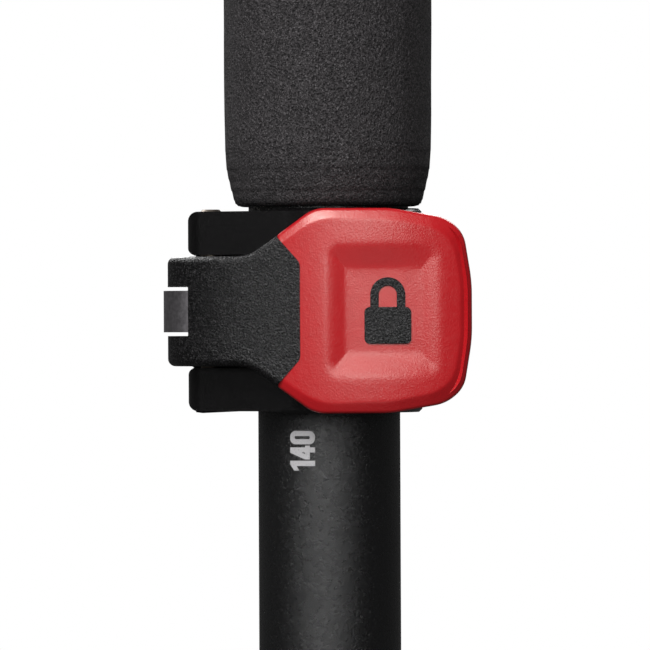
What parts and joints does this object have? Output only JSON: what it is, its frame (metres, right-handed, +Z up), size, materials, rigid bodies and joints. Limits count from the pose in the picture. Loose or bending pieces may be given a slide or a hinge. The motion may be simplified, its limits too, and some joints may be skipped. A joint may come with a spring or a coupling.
{
  "type": "telescoping pole lever lock",
  "caption": "Telescoping hiking-pole joint: foam-sleeved upper tube, split clamp collar with a red cam lever, and a graduated lower tube that slides and locks.",
  "frame": {"origin": "centre of the lower tube's open bottom end", "axes": "+Z up along the tubes' axis; the lever's face is towards -Y and its hinge towards -X"},
  "size_m": [0.0345, 0.0255, 0.173],
  "materials": {
    "foam": "fine-pored EVA foam",
    "upper_tube": "black coated aluminium",
    "lower_tube": "black powder-coated aluminium",
    "collar_plastic": "black glass-filled nylon",
    "lever_plastic": "black glass-filled nylon with a fine sparkle",
    "cover_red": "red soft-touch plastic with a fine grain",
    "link_steel": "dark satin steel",
    "pin_steel": "plain steel",
    "screw_steel": "blackened steel",
    "liner_plastic": "natural acetal",
    "bushing_plastic": "dark grey nylon",
    "numeral_ink": "white print"
  },
  "bodies": {
    "upper_section": {"upper_shaft": "upper_tube", "foam_sleeve": "foam", "clamp_collar": "collar_plastic", "shaft_liner": "liner_plastic", "tension_link": "link_steel", "screw_washer": "screw_steel"},
    "lever": {"lever_body": "lever_plastic", "lever_cover": "cover_red", "hinge_pin": "pin_steel"},
    "tension_screw": {"tension_screw": "screw_steel"},
    "shaft_carriage": {"glide_bushing": "bushing_plastic"},
    "lower_section": {"lower_shaft": "lower_tube", "scale_numerals": "numeral_ink"}
  },
  "joints": [
    {"name": "lever_hinge", "type": "hinge", "parent": "upper_section", "child": "lever", "pos_m": [-0.0132, -0.0015, 0.078], "axis": [0, 0, -1], "range_deg": [0, 105]},
    {"name": "tension_screw_turn", "type": "hinge", "parent": "upper_section", "child": "tension_screw", "pos_m": [-0.0132, 0.0092, 0.078], "axis": [0, 1, 0], "continuous": true},
    {"name": "shaft_slide", "type": "slide", "parent": "upper_section", "child": "shaft_carriage", "axis": [0, 0, 1], "range_m": [0, 0.05]},
    {"name": "lower_shaft_turn", "type": "hinge", "parent": "shaft_carriage", "child": "lower_section", "pos_m": [0, 0, 0], "axis": [0, 0, 1], "continuous": true}
  ]
}
